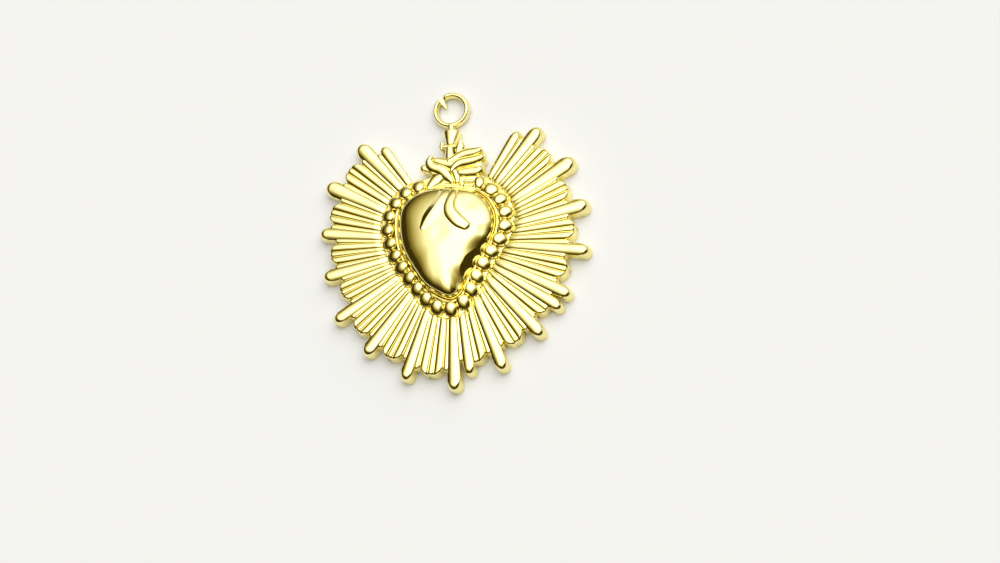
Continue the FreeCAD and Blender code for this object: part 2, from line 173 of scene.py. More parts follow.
# Strands over the heart: middle line with half width and rise at each point. The
# left one has a plain slope on its left and falls away to its right.
LEFT_STRAND = ((-0.3, 6.5, 0.75, 0.16), (-0.5, 5.3, 0.9, 0.28), (-0.95, 4.2, 1.0, 0.36),
               (-1.55, 3.2, 1.0, 0.34), (-2.25, 2.3, 0.86, 0.24), (-2.85, 1.4, 0.5, 0.1))
RIGHT_STRAND = ((0.75, 6.45, 0.45, 0.25), (0.7, 5.4, 0.6, 0.34), (0.42, 4.3, 0.68, 0.4),
                (0.4, 3.4, 0.8, 0.42), (0.95, 2.35, 0.84, 0.42), (1.7, 1.55, 0.82, 0.4),
                (2.3, 1.1, 0.68, 0.34))
STRAND_POWER = 2.5
FOLD_CREST = -0.25
STRAND_SINK = 0.15
FOLD_SINK = 0.02
STRAND_FOOT = 0.2
STRAND_STEPS = 90
STRAND_END_STEPS = 10
FOLD_COLUMNS = 40
STRAND_COLUMNS = 28

# Flames: each tongue is its middle line with half width, then its top height.
# Its edges lie below its crest by the relief's share of the half width.
FLAME_RELIEF = 0.55
TONGUE_POWER = 2.4
# How square the least blunt end of a tongue is.
TONGUE_SQUARE = 0.3
TONGUES = (
    # right side, top to bottom
    (((0.0, 10.15, 0.3), (0.75, 10.5, 0.46), (1.55, 10.85, 0.57), (2.35, 11.0, 0.6),
      (3.1, 11.05, 0.55), (3.8, 11.2, 0.36)), 2.4),
    (((0.35, 8.9, 0.25), (0.75, 9.45, 0.46), (1.35, 9.8, 0.57), (2.05, 9.9, 0.6),
      (3.05, 10.0, 0.54), (4.05, 10.2, 0.36)), 2.5),
    (((1.35, 8.6, 0.52), (1.9, 8.6, 0.7), (2.6, 8.6, 0.74), (3.3, 8.6, 0.66),
      (3.7, 8.7, 0.5)), 2.38),
    # left side: the hooked tongue, the one over it and the petal under it
    (((-2.3, 10.85, 0.3), (-2.5, 10.45, 0.48), (-2.35, 9.95, 0.62), (-1.9, 9.6, 0.7),
      (-1.3, 9.35, 0.76), (-0.8, 8.95, 0.78), (-0.4, 8.45, 0.68), (0.0, 7.95, 0.48),
      (0.35, 7.45, 0.25)), 2.45),
    (((-1.75, 10.45, 0.35), (-1.0, 10.2, 0.6), (-0.2, 9.95, 0.75), (0.5, 9.95, 0.7),
      (1.1, 10.2, 0.5)), 2.34),
    (((-2.6, 7.0, 0.4), (-2.1, 7.6, 0.75), (-1.6, 8.05, 0.95), (-1.15, 8.3, 0.75)), 2.3),
    # drop below the meeting point of the tongues
    (((0.6, 8.85, 0.32), (0.85, 8.2, 0.48), (1.0, 7.4, 0.32)), 2.35),
    # two small bars beside the drop
    (((1.95, 7.42, 0.27), (2.8, 7.32, 0.27)), 2.2),
    (((1.9, 6.88, 0.27), (2.75, 6.8, 0.27)), 2.18),
)
# Place, radius and height of the middle.
FLAME_BALLS = ((-3.3, 9.8, 0.5, 1.5), (1.45, 7.1, 0.38, 1.75), (3.08, 6.66, 0.24, 1.85))
FLAME_BED = ((-2.7, 6.3), (-2.9, 7.2), (-2.2, 8.6), (-2.8, 9.2), (-3.6, 9.6),
             (-2.7, 10.4), (-1.2, 10.6), (0.2, 10.9), (1.8, 11.1), (3.6, 11.1),
             (4.0, 10.0), (3.9, 8.6), (3.3, 7.4), (3.3, 6.4), (0.4, 5.6))
FLAME_BED_TOP = 1.95
BALL_BASE_SHARE = 0.9
BALL_BASE_EASE = 0.05
BALL_BASE_SIDES = 24

# Cross: its arms are given like the tongues, then how far their ends bulge.
CROSS_RELIEF = 0.5
CROSS_ARMS = (
    (((0.1, 12.5, 0.52), (0.12, 13.0, 0.66), (0.15, 13.6, 0.86), (0.17, 14.2, 1.0)), 2.1, 0.3),
    (((0.02, 12.0, 0.44), (0.0, 11.4, 0.5), (0.0, 10.5, 0.54)), 2.15, 0.5),
    (((-0.98, 12.75, 0.2), (-1.02, 12.4, 0.3), (-1.04, 12.05, 0.2)), 1.85, 1.0),
    (((1.45, 12.75, 0.14), (1.32, 12.4, 0.5), (1.22, 11.95, 0.62), (1.05, 11.5, 0.46),
      (0.97, 11.2, 0.12)), 2.0, 0.8),
    (((-0.85, 12.28, 0.24), (0.0, 12.24, 0.26), (1.0, 12.2, 0.24)), 1.9, 0.5),
)
STEM_HALF_WIDTH = 0.43
STEM_TOP = 1.3
STEM_RELIEF = 0.6
STEM_BLUNT = 0.2
STEM_OVERLAP = 0.6

# Hanging eye.
EYE_CENTRE = (0.03, 17.28)
EYE_OUTER = 2.3
EYE_BORE = 1.65
EYE_THICKNESS = 1.2
EYE_POWER = 2.3
EYE_STEPS = 128
EYE_SIDES = 28
NICK_ANGLE = 128.0
NICK_SPREAD = 12.0
NICK_DEPTH = 0.4
BARB_ROOT = (-1.3, 18.85)
BARB_TIP = (-0.55, 17.6)
BARB_HALF_WIDTH = 0.42
# Stations of the barb: part of its length, share of its width, lowest and highest
# height. Its section has three low corners, each with its place across and its
# height over the lowest, and two high ones, with their share of the highest.
BARB_STATIONS = ((-0.12, 0.8, 0.3, 0.95), (0.25, 1.0, 0.2, 1.05),
                 (0.6, 0.62, 0.25, 0.9), (1.0, 0.06, 0.5, 0.58))
BARB_LOW_CORNERS = ((-1.0, 0.1), (0.0, 0.0), (1.0, 0.15))
BARB_HIGH_CORNERS = ((0.5, 1.0), (-0.7, 0.92))

# Gold: two tones, roughness from and to, and the waviness of the surface.
GOLD_TONES = ((0.95, 0.84, 0.34, 1), (0.97, 0.87, 0.40, 1))
TONE_SCALE = 220
GOLD_ROUGHNESS = (0.08, 0.18)
SCRATCH_SCALE = 900
WAVE_STRENGTH = 0.25
WAVE_DEPTH = 0.00002
WAVE_SCALE = 1200

# Floor.
FLOOR_RADIUS = 6
FLOOR_HEIGHT = -2e-5
FLOOR_COLOUR = (0.86, 0.87, 0.90, 1)
FLOOR_ROUGHNESS = 0.7
FLOOR_SPECULAR = 0.2

# Studio. A direction's level is its part along the light's aim, lower towards the
# front and in the dark corner, and higher towards the back. The room's tones run
# from its dark walls up to the light, each with its level, as parts of the light.
LIGHT_AIM = (0.30, 0.0, 0.95)
FRONT_AIM = (0.0, -1.0, 0.0)
FRONT_DIM = 0.3
BACK_AIM = (0.1, 0.995, 0.0)
BACK_GLOW = 0.34
DARK_CORNER = (0.80, -0.42, 0.42)
CORNER_SIZE = 0.78
CORNER_DEPTH = 2.0
ROOM_LIGHT = 2.4
ROOM = ((0.18, (0.017, 0.012, 0.0005)), (0.34, (0.08, 0.064, 0.018)),
        (0.44, (0.135, 0.112, 0.04)), (0.52, (0.215, 0.190, 0.10)),
        (0.62, (0.30, 0.28, 0.20)), (0.70, (0.42, 0.415, 0.385)),
        (0.78, (0.60, 0.60, 0.59)), (0.90, (1.0, 1.0, 1.0)))

# Camera: its axes and distance, as seen from the point that it was set up on, and
# where that point lies in the picture.
LOOK_AT = (0.0, 0.0, 1.5)
CAMERA_RIGHT = (0.9633, -0.0160, -0.2679)
CAMERA_UP = (0.1059, 0.9399, 0.3245)
CAMERA_DISTANCE = 500.0
FOCAL_PIXELS = 4150.0
SENSOR_WIDTH = 36.0
CLIP_START = 0.01
CLIP_END = 50.0
LOOK_AT_PIXEL = (451.7, 241.8)
PHOTO_SIZE = (1000, 563)


def smooth_curve(points, closed, count):
    """Even samples of a cubic curve with unbroken curvature through the points."""
    p = np.array(points, dtype=float)
    if closed:
        p = np.vstack([p, p[:1]])
    h = np.linalg.norm(np.diff(p[:, :2], axis=0), axis=1)
    n = len(p)
    a = np.zeros((n, n))
    b = np.zeros((n, p.shape[1]))
    for i in range(1, n - 1):
        a[i, i - 1], a[i, i], a[i, i + 1] = h[i - 1], 2 * (h[i - 1] + h[i]), h[i]
        b[i] = 6 * ((p[i + 1] - p[i]) / h[i] - (p[i] - p[i - 1]) / h[i - 1])
    if closed:
        a[0, 0], a[0, -1] = 1.0, -1.0
        a[-1, 0], a[-1, 1] = 2 * h[0], h[0]
        a[-1, -2], a[-1, -1] = h[-1], 2 * h[-1]
        b[-1] = 6 * ((p[1] - p[0]) / h[0] - (p[-1] - p[-2]) / h[-1])
    else:
        a[0, 0] = a[-1, -1] = 1.0
    m = np.linalg.solve(a, b)
    knots = np.concatenate([[0.0], np.cumsum(h)])

    def at(u):
        k = np.clip(np.searchsorted(knots, u, side="right") - 1, 0, n - 2)
        r = ((u - knots[k]) / h[k])[:, None]
        w = h[k][:, None]
        return (p[k] * (1 - r) + p[k + 1] * r
                + ((1 - r) ** 3 - (1 - r)) * w ** 2 / 6 * m[k]
                + (r ** 3 - r) * w ** 2 / 6 * m[k + 1])

    fine = np.linspace(0, knots[-1], CURVE_STEPS)
    track = at(fine)
    gone = np.concatenate([[0], np.cumsum(np.linalg.norm(np.diff(track[:, :2], axis=0), axis=1))])
    wanted = np.linspace(0, gone[-1], count, endpoint=not closed)
    return at(np.interp(wanted, gone, fine))


class Casting:
    """Closed forms that are gathered into one mesh."""

    def __init__(self):
        self.mesh = bmesh.new()

    def grid(self, rows, close_rows=False, close_columns=False, caps=False):
        """Faces between rows of points. Caps close a tube's two ends."""
        verts = [[self.mesh.verts.new(Vector(p) * MM) for p in row] for row in rows]
        n, m = len(verts), len(verts[0])
        for i in range(n if close_rows else n - 1):
            for j in range(m if close_columns else m - 1):
                a, b = verts[i][j], verts[i][(j + 1) % m]
                c, d = verts[(i + 1) % n][(j + 1) % m], verts[(i + 1) % n][j]
                self.mesh.faces.new((a, b, c, d))
        if caps:
            self.mesh.faces.new(verts[0][::-1])
            self.mesh.faces.new(verts[-1])
        return verts

    def relief(self, rows, foot):
        """A raised form: its top as a grid of points, upright walls and a flat foot."""
        verts = self.grid(rows)
        n, m = len(verts), len(verts[0])
        edge = ([(0, j) for j in range(m)] + [(i, m - 1) for i in range(1, n)]
                + [(n - 1, j) for j in range(m - 2, -1, -1)] + [(i, 0) for i in range(n - 2, 0, -1)])
        ring = [verts[i][j] for i, j in edge]
        low = [self.mesh.verts.new((v.co.x, v.co.y, foot * MM)) for v in ring]
        for k in range(len(ring)):
            j = (k + 1) % len(ring)
            self.mesh.faces.new((ring[k], low[k], low[j], ring[j]))
        self.mesh.faces.new(low)

    def make(self, name):
        bm = self.mesh
        bmesh.ops.remove_doubles(bm, verts=bm.verts, dist=MERGE_DISTANCE)
        bmesh.ops.dissolve_degenerate(bm, edges=bm.edges, dist=SLIVER_EDGE)
        bmesh.ops.triangulate(bm, faces=[f for f in bm.faces if len(f.verts) > 4])
        bmesh.ops.recalc_face_normals(bm, faces=bm.faces)
        limit = math.radians(SHARP_ANGLE)
        for face in bm.faces:
            face.smooth = True
        for edge in bm.edges:
            if len(edge.link_faces) == 2:
                edge.smooth = edge.calc_face_angle() < limit
        data = bpy.data.meshes.new(name)
        bm.to_mesh(data)
        bm.free()
        piece = bpy.data.objects.new(name, data)
        bpy.context.collection.objects.link(piece)
        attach(piece, "root")
        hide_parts("pendant")
        return piece


def arch(count, power):
    """Across from -1 to 1 and height from 0 up to 1 and back, denser at the sides."""
    steps = []
    for i in range(count + 1):
        a = math.pi * i / count
        c, s = math.cos(a), abs(math.sin(a))
        steps.append((-math.copysign(abs(c) ** (2 / power), c), s ** (2 / power)))
    return steps


def across(count):
    """Steps from -1 to 1, denser at the sides."""
    return [math.sin(math.pi * (i / count - 0.5)) for i in range(count + 1)]


def bead_line():
    """Direction and distance of the row of beads, seen from the origin."""
    row = smooth_curve(BEAD_PATH, False, TABLE_STEPS)
    angle = np.degrees(np.arctan2(row[:, 0], -row[:, 1]))
    order = np.argsort(angle)
    return angle[order], np.linalg.norm(row, axis=1)[order]


BEAD_ANGLE, BEAD_DISTANCE = bead_line()


def root(angle):
    """Distance from the origin to the start of the fan's forms along an angle."""
    return float(np.interp(angle, BEAD_ANGLE, BEAD_DISTANCE)) + ROOT_OUT


def end_radius(reach, spread):
    half = math.radians(spread / 2)
    return reach * math.sin(half) / (1 + math.sin(half))


class Spoke:
    """A form of the fan: it widens from the origin and ends on a circle."""

    def __init__(self, angle, spread, crest, reach, nose, nose_drop, relief=RAY_RELIEF,
                 columns=RAY_COLUMNS, end_angle=None, end_spread=None):
        self.angle, self.spread, self.crest = angle, spread, crest
        self.nose, self.nose_drop = nose, nose_drop
        self.relief, self.columns = relief, columns
        self.end_angle = angle if end_angle is None else end_angle
        self.end_circle = end_radius(reach, end_spread or spread)
        self.end_centre = reach - self.end_circle

    def end(self, angle):
        """Distance from the origin to the end of the spoke along an angle."""
        d = math.radians(angle - self.end_angle)
        inside = self.end_circle ** 2 - (self.end_centre * math.sin(d)) ** 2
        return self.end_centre * math.cos(d) + math.sqrt(max(inside, 0.0))

    def rows(self):
        steps = across(self.columns)
        stations = [(0.0, 0.0, ROOT_DROP), (ROOT_EASE, 0.0, 0.0)]
        stations += [(k / RAY_STATIONS, 0.0, 0.0) for k in range(1, RAY_STATIONS)]
        for k in range(NOSE_STATIONS + 1):
            turn = math.pi / 2 * k / NOSE_STATIONS
            stations.append((1.0, turn, self.nose_drop * (1 - math.cos(turn))))
        rows = []
        for part, turn, drop in stations:
            row = [self.place(v, part, math.sin(turn)) for v in steps]
            half = math.dist(row[0], row[-1]) / 2
            rows.append([(x, y, self.crest - drop - self.relief * half * abs(v) ** RAY_POWER)
                         for (x, y), v in zip(row, steps)])
        return rows

    def place(self, v, part, nose_part):
        """Plan position at a part v of the width and a part of the straight run."""
        angle = self.angle + v * self.spread / 2
        start = root(angle)
        straight = self.end(angle) - self.nose
        reach = start + (straight - start) * part + self.nose * nose_part
        a = math.radians(angle)
        return reach * math.sin(a), -reach * math.cos(a)


class Club(Spoke):
    """A ray that widens in a straight line from a narrow start to its round end."""

    def __init__(self, angle, spread, crest, reach, start_width):
        super().__init__(angle, spread, crest, reach, LONG_NOSE, LONG_NOSE_DROP)
        near = start_width / 2
        self.start = root(angle)
        run = self.end_centre - self.start
        slant = math.asin((self.end_circle - near) / run)
        self.widening = math.tan(slant)
        self.at_origin = near - self.start * self.widening

    def far(self, v):
        """How far out the line at a part v of the width meets the end circle."""
        p, q = v * self.at_origin, v * self.widening
        a = 1 + q * q
        b = p * q - self.end_centre
        c = self.end_centre ** 2 + p * p - self.end_circle ** 2
        return (-b + math.sqrt(max(b * b - a * c, 0.0))) / a

    def place(self, v, part, nose_part):
        straight = self.far(v) - self.nose
        along = self.start + (straight - self.start) * part + self.nose * nose_part
        sideways = v * (self.at_origin + self.widening * along)
        a = math.radians(self.angle)
        return (along * math.sin(a) + sideways * math.cos(a),
                -along * math.cos(a) + sideways * math.sin(a))


def fan_spokes():
    """Every ray and rib of the fan."""
    spokes = []
    last = (len(LONG_REACH) - 1) / 2

    def rib(angle, reach, **end):
        spokes.append(Spoke(angle, RIB_SPREAD, RIB_CREST, reach, RIB_NOSE, RIB_NOSE_DROP,
                            RIB_RELIEF, RIB_COLUMNS, **end))

    for i, reach in enumerate(LONG_REACH):
        spokes.append(Club((i - last) * LONG_PITCH, LONG_SPREAD[i] * CLUB_WIDER, RAY_CREST, reach,
                           LONG_START_WIDTH))
    pair_spread = LONG_PITCH / 3 + SHORT_SPREAD + TRIM_EASE
    for i, reach in enumerate(SHORT_REACH):
        middle = (i - last + 0.5) * LONG_PITCH
        for side in (-1, 1):
            spokes.append(Spoke(middle + side * LONG_PITCH / 6, SHORT_SPREAD, SHORT_CREST, reach,
                                SHORT_NOSE, SHORT_NOSE_DROP,
                                end_angle=middle, end_spread=pair_spread))
            rib(middle + side * LONG_PITCH / 3, reach - RIB_BACK)
        rib(middle, reach - MIDDLE_RIB_BACK, end_angle=middle, end_spread=pair_spread)
    for angle, reach in PROUD_SHORTS:
        spokes.append(Club(angle, SHORT_SPREAD * CLUB_WIDER, SHORT_CREST + PROUD_RISE, reach,
                           SHORT_START_WIDTH))
    for side in (-1, 1):
        edge = side * last * LONG_PITCH
        spokes.append(Club(edge + side * END_SHORT_STEP, SHORT_SPREAD * CLUB_WIDER, SHORT_CREST,
                           END_SHORT_REACH, SHORT_START_WIDTH))
        rib(edge + side * END_SHORT_STEP / 2, END_SHORT_REACH - RIB_BACK)
    return spokes


def plate_reach(spokes):
    """How far the plate under the fan reaches at every step of the full turn."""
    steps = int(360 / PLATE_STEP)
    reach = np.full(steps, PLATE_INNER_REACH)
    for spoke in spokes:
        half = spoke.spread / 2 * PLATE_SHARE
        low = math.ceil((spoke.angle - half) / PLATE_STEP)
        high = math.floor((spoke.angle + half) / PLATE_STEP)
        for k in range(low, high + 1):
            reach[k % steps] = max(reach[k % steps], spoke.end(k * PLATE_STEP))
    return reach


def drawn_in(reach, distance):
    """The plate's outline moved inwards on all sides."""
    width = max(1, round(math.degrees(distance / PLATE_USUAL_REACH) / PLATE_STEP))
    narrow = np.min([np.roll(reach, k) for k in range(-width, width + 1)], axis=0)
    return narrow - distance


def make_fan():
    casting = Casting()
    spokes = fan_spokes()
    for spoke in spokes:
        casting.relief(spoke.rows(), FAN_FOOT)
    reach = plate_reach(spokes)
    angles = np.radians(np.arange(len(reach)) * PLATE_STEP)
    rows = []
    for inset, z in ((PLATE_BEVEL, PLATE_FOOT), (PLATE_INSET, FAN_FOOT), (PLATE_INSET, PLATE_TOP)):
        r = drawn_in(reach, inset)
        rows.append(list(zip(r * np.sin(angles), -r * np.cos(angles), np.full(len(r), z))))
    casting.grid(rows, close_columns=True, caps=True)
    return casting.make("fan_of_rays")


def ball(casting, x, y, z, rx, ry, rz, turn=0.0, lean=(0.0, 0.0), low=-60, sides=32, rings=16):
    """Ball, or an oval one, closed flat at its foot. It can lean to one side."""
    rows = []
    for k in range(rings + 1):
        tilt = math.radians(low + (90 - low) * k / rings)
        up = rz * math.sin(tilt)
        row = []
        for i in range(sides):
            a = 2 * math.pi * i / sides
            px = rx * math.cos(tilt) * math.cos(a)
            py = ry * math.cos(tilt) * math.sin(a)
            row.append((x + px * math.cos(turn) - py * math.sin(turn) + lean[0] * up,
                        y + px * math.sin(turn) + py * math.cos(turn) + lean[1] * up,
                        z + up))
        rows.append(row)
    verts = casting.grid(rows, close_columns=True)
    casting.mesh.faces.new(verts[0][::-1])


def disc(casting, x, y, radius, top, foot, ease=0.22, sides=48, steps=5):
    """Low round step with an eased upper edge."""
    around = np.linspace(0, 2 * math.pi, sides, endpoint=False)
    rows = [[(x + radius * math.cos(a), y + radius * math.sin(a), foot) for a in around]]
    for k in range(steps + 1):
        t = math.pi / 2 * k / steps
        r = radius - ease * (1 - math.cos(t))
        z = top - ease * (1 - math.sin(t))
        rows.append([(x + r * math.cos(a), y + r * math.sin(a), z) for a in around])
    casting.grid(rows, close_columns=True, caps=True)


def make_beads():
    casting = Casting()
    path = smooth_curve(BEAD_PATH, False, BAND_STEPS)
    ahead = np.gradient(path, axis=0)
    ahead /= np.linalg.norm(ahead, axis=1)[:, None]
    side = np.stack([-ahead[:, 1], ahead[:, 0]], axis=1)
    slab(casting, path + side * BAND_HALF_WIDTH, BAND_TOP, BAND_FOOT)
    round_bead = (0.0, BEAD_RADIUS, BEAD_RADIUS, 0)
    for k, (x, y) in enumerate(smooth_curve(BEAD_PATH, False, BEAD_COUNT)):
        disc(casting, x, y, COLLAR_RADIUS, COLLAR_TOP - COLLAR_STAGGER * (k % 2),
             BAND_FOOT + COLLAR_FOOT_STAGGER * (1 + k % 3))
        dx, dy = HEART_CENTRE[0] - x, HEART_CENTRE[1] - y
        away = math.hypot(dx, dy)
        lean = (BEAD_LEAN * dx / away, BEAD_LEAN * dy / away)
        shift, rx, ry, turn = OVAL_BEADS[k] if k < len(OVAL_BEADS) else round_bead
        ball(casting, x, y + shift, BAND_TOP + BEAD_RISE, rx, ry, BEAD_HEIGHT,
             math.radians(turn), lean)
    return casting.make("beads")


class Dome:
    """The heart's surface: a height for each place over its outline."""

    def __init__(self):
        outline = smooth_curve(HEART_OUTLINE, True, OUTLINE_STEPS)
        d = outline - np.array(HEART_CENTRE)
        angle = np.arctan2(d[:, 1], d[:, 0])
        order = np.argsort(angle)
        self.angle = angle[order]
        self.foot = np.linalg.norm(d, axis=1)[order]
        self.inset = np.linspace(0, 1, INSET_STEPS) ** INSET_POWER
        self.flank_angle, self.flank_width, share = smooth_curve(FLANK, False, TABLE_STEPS).T
        self.flank_share = np.clip(share, 0, 1)
        self.power_angle, self.power_there = smooth_curve(TIP_POWER, False, TABLE_STEPS).T

    def reach(self, angle):
        return np.interp(angle, self.angle, self.foot, period=2 * math.pi)

    def flank(self, angle):
        """Width of the sloped flank in a direction, and how much of a flank it is."""
        degrees = np.degrees(angle)
        return (np.interp(degrees, self.flank_angle, self.flank_width),
                np.interp(degrees, self.flank_angle, self.flank_share))

    def distance(self, angle, inset):
        """How far the surface at an inset lies from the centre, in plan."""
        reach = self.reach(angle)
        width, share = self.flank(angle)
        drawn = (width - SHOULDER * reach) * share
        part = np.where(inset < SHOULDER, inset / SHOULDER, (1 - inset) / (1 - SHOULDER))
        return reach * (1 - inset) - drawn * part

    def rise(self, angle, inset):
        """Height over the foot as a part of the whole rise."""
        power = np.interp(math.degrees(angle), self.power_angle, self.power_there)
        round_rise = (1 - (1 - inset) ** power) ** (1 / power)
        beyond = np.clip((inset - SHOULDER) / (1 - SHOULDER), 0, 1)
        width, share = self.flank(angle)
        shoulder = FLANK_STEP + FLANK_SLOPE * width / HEART_RISE
        slope = (FLANK_STEP + (shoulder - FLANK_STEP) * np.minimum(inset / SHOULDER, 1)
                 + (1 - shoulder) * (1 - (1 - beyond) ** HEART_POWER))
        part = share * (1 - beyond)
        return round_rise * (1 - part) + slope * part

    def lift(self, angle, inset, x, y):
        high = HEART_BASE + HEART_RISE * float(self.rise(angle, inset))
        for hx, hy, reach, depth in HOLLOWS:
            high -= depth * math.exp(-((x - hx) ** 2 + (y - hy) ** 2) / reach ** 2)
        return high

    def height(self, x, y):
        dx, dy = x - HEART_CENTRE[0], y - HEART_CENTRE[1]
        angle = math.atan2(dy, dx)
        away = self.distance(angle, self.inset)
        inset = float(np.interp(-math.hypot(dx, dy), -away, self.inset))
        return self.lift(angle, inset, x, y)


def fold(count):
    """Across and height of a fold: a plain slope on its left, falling away to its right."""
    steps = []
    for i in range(count + 1):
        v = 2 * i / count - 1
        if v < FOLD_CREST:
            height = (v + 1) / (FOLD_CREST + 1)
        else:
            height = 1 - ((v - FOLD_CREST) / (1 - FOLD_CREST)) ** 2
        steps.append((v, height))
    return steps


def strand(casting, dome, points, section, sink):
    """A raised ribbon that runs down the dome to a round end."""
    path = smooth_curve(points, False, STRAND_STEPS)
    ahead = np.gradient(path[:, :2], axis=0)
    ahead /= np.linalg.norm(ahead, axis=1)[:, None]
    stations = [(p[0], p[1], t[0], t[1], p[2], p[3], 1.0) for p, t in zip(path, ahead)]
    x, y, width, rise = path[-1]
    tx, ty = ahead[-1]
    for k in range(1, STRAND_END_STEPS + 1):
        turn = math.pi / 2 * k / STRAND_END_STEPS
        out = width * math.sin(turn)
        stations.append((x + tx * out, y + ty * out, tx, ty, width * math.cos(turn), rise,
                         math.cos(turn) ** (2 / STRAND_POWER)))
    rows = []
    for x, y, tx, ty, half, rise, fall in stations:
        row = []
        for v, height in section:
            px, py = x - ty * v * half, y + tx * v * half
            row.append((px, py, dome.height(px, py) - sink + (rise + sink) * height * fall))
        rows.append(row)
    casting.relief(rows, HEART_BASE + STRAND_FOOT)


def rim(casting):
    """Fine wire round the heart's foot."""
    line = smooth_curve(HEART_OUTLINE, True, RIM_STEPS)
    ahead = np.roll(line, -1, axis=0) - np.roll(line, 1, axis=0)
    ahead /= np.linalg.norm(ahead, axis=1)[:, None]
    rows = []
    for (x, y), (tx, ty) in zip(line, ahead):
        row = []
        for k in range(RIM_SIDES):
            a = 2 * math.pi * k / RIM_SIDES
            out = RIM_GAP + RIM_RADIUS * math.cos(a)
            row.append((x - ty * out, y + tx * out, RIM_HEIGHT + RIM_RADIUS * math.sin(a)))
        rows.append(row)
    casting.grid(rows, close_rows=True, close_columns=True)


def make_heart():
    casting = Casting()
    dome = Dome()
    angles = np.linspace(-math.pi, math.pi, DOME_SIDES, endpoint=False)
    foot = np.arange(DOME_FOOT_RINGS) / DOME_FOOT_RINGS
    insets = np.concatenate([foot ** 2 * DOME_FOOT_PART,
                             np.linspace(DOME_FOOT_PART, DOME_TOP_PART, DOME_RINGS)])
    cx, cy = HEART_CENTRE
    rows = [[(cx + dome.reach(a) * math.cos(a), cy + dome.reach(a) * math.sin(a), HEART_FOOT)
             for a in angles]]
    for inset in insets:
        row = []
        for a in angles:
            r = float(dome.distance(a, inset))
            x, y = cx + r * math.cos(a), cy + r * math.sin(a)
            row.append((x, y, dome.lift(a, inset, x, y)))
        rows.append(row)
    casting.grid(rows, close_columns=True, caps=True)
    strand(casting, dome, LEFT_STRAND, fold(FOLD_COLUMNS), FOLD_SINK)
    strand(casting, dome, RIGHT_STRAND, arch(STRAND_COLUMNS, STRAND_POWER), STRAND_SINK)
    rim(casting)
    return casting.make("heart")


def tongue(casting, points, top, foot, relief, blunt=1.0, steps=36, end_steps=8, columns=20):
    """A flame tongue: it follows its middle line, rounded over and at both ends."""
    path = smooth_curve(points, False, steps + 1)
    ahead = np.gradient(path[:, :2], axis=0)
    ahead /= np.linalg.norm(ahead, axis=1)[:, None]

    def section(k, sign=1, turn=0.0):
        x, y, half = path[k]
        tx, ty = ahead[k]
        out = sign * half * blunt * math.sin(turn)
        width = half * math.cos(turn) ** (TONGUE_SQUARE + (1 - TONGUE_SQUARE) * blunt)
        row = []
        for v in across(columns):
            away = math.hypot(math.sin(turn), v * math.cos(turn))
            row.append((x + tx * out - ty * v * width, y + ty * out + tx * v * width,
                        top - relief * half * away ** TONGUE_POWER))
        return row

    turns = [math.pi / 2 * j / end_steps for j in range(1, end_steps + 1)]
    rows = [section(0, -1, turn) for turn in turns[::-1]]
    rows += [section(k) for k in range(len(path))]
    rows += [section(-1, 1, turn) for turn in turns]
    casting.relief(rows, foot)


def slab(casting, outline, top, foot, ease=0.2, sides=160, steps=4):
    """Flat bed with an eased edge, through the outline's points."""
    edge = smooth_curve(outline, True, sides)
    ahead = np.roll(edge, -1, axis=0) - np.roll(edge, 1, axis=0)
    ahead /= np.linalg.norm(ahead, axis=1)[:, None]
    area = np.sum(edge[:, 0] * np.roll(edge[:, 1], -1) - np.roll(edge[:, 0], -1) * edge[:, 1])
    inward = np.stack([-ahead[:, 1], ahead[:, 0]], axis=1) * (1 if area > 0 else -1)
    rows = [[(x, y, foot) for x, y in edge]]
    for k in range(steps + 1):
        t = math.pi / 2 * k / steps
        moved = edge + inward * ease * (1 - math.cos(t))
        rows.append([(x, y, top - ease * (1 - math.sin(t))) for x, y in moved])
    casting.grid(rows, close_columns=True, caps=True)


def make_flames():
    casting = Casting()
    slab(casting, FLAME_BED, FLAME_BED_TOP, FLAME_FOOT)
    for points, top in TONGUES:
        tongue(casting, points, top, FLAME_FOOT, FLAME_RELIEF)
    for points, top, blunt in CROSS_ARMS:
        tongue(casting, points, top, FLAME_FOOT, CROSS_RELIEF, blunt)
    for x, y, radius, z in FLAME_BALLS:
        ball(casting, x, y, z, radius, radius, radius)
        disc(casting, x, y, radius * BALL_BASE_SHARE, z, FLAME_FOOT, BALL_BASE_EASE,
             BALL_BASE_SIDES)
    return casting.make("flames_and_cross")


def make_eye():
    casting = Casting()
    cx, cy = EYE_CENTRE
    middle, half = (EYE_OUTER + EYE_BORE) / 2, (EYE_OUTER - EYE_BORE) / 2
    z_half = (EYE_THICKNESS - EYE_FOOT) / 2
    rows = []
    for i in range(EYE_STEPS):
        degrees = 360 * i / EYE_STEPS
        a = math.radians(degrees)
        off = (degrees - NICK_ANGLE) / NICK_SPREAD
        nick = NICK_DEPTH * math.exp(-off ** 4)
        row = []
        for k in range(EYE_SIDES):
            t = 2 * math.pi * k / EYE_SIDES
            c, s = math.cos(t), math.sin(t)
            out = math.copysign(abs(c) ** (2 / EYE_POWER), c)
            up = math.copysign(abs(s) ** (2 / EYE_POWER), s)
            r = middle + half * out - (nick / 2 if out > 0 else 0)
            z = EYE_FOOT + z_half * (1 + up) - (nick if up > 0 else 0)
            row.append((cx + r * math.cos(a), cy + r * math.sin(a), z))
        rows.append(row)
    casting.grid(rows, close_rows=True, close_columns=True)
    barb(casting)
    low = CROSS_ARMS[0][0][-1][1] - STEM_OVERLAP
    high = cy - middle
    stem = [(cx, y, STEM_HALF_WIDTH) for y in (low, (low + high) / 2, high)]
    tongue(casting, stem, STEM_TOP, EYE_FOOT, STEM_RELIEF, STEM_BLUNT)
    return casting.make("hanging_eye")


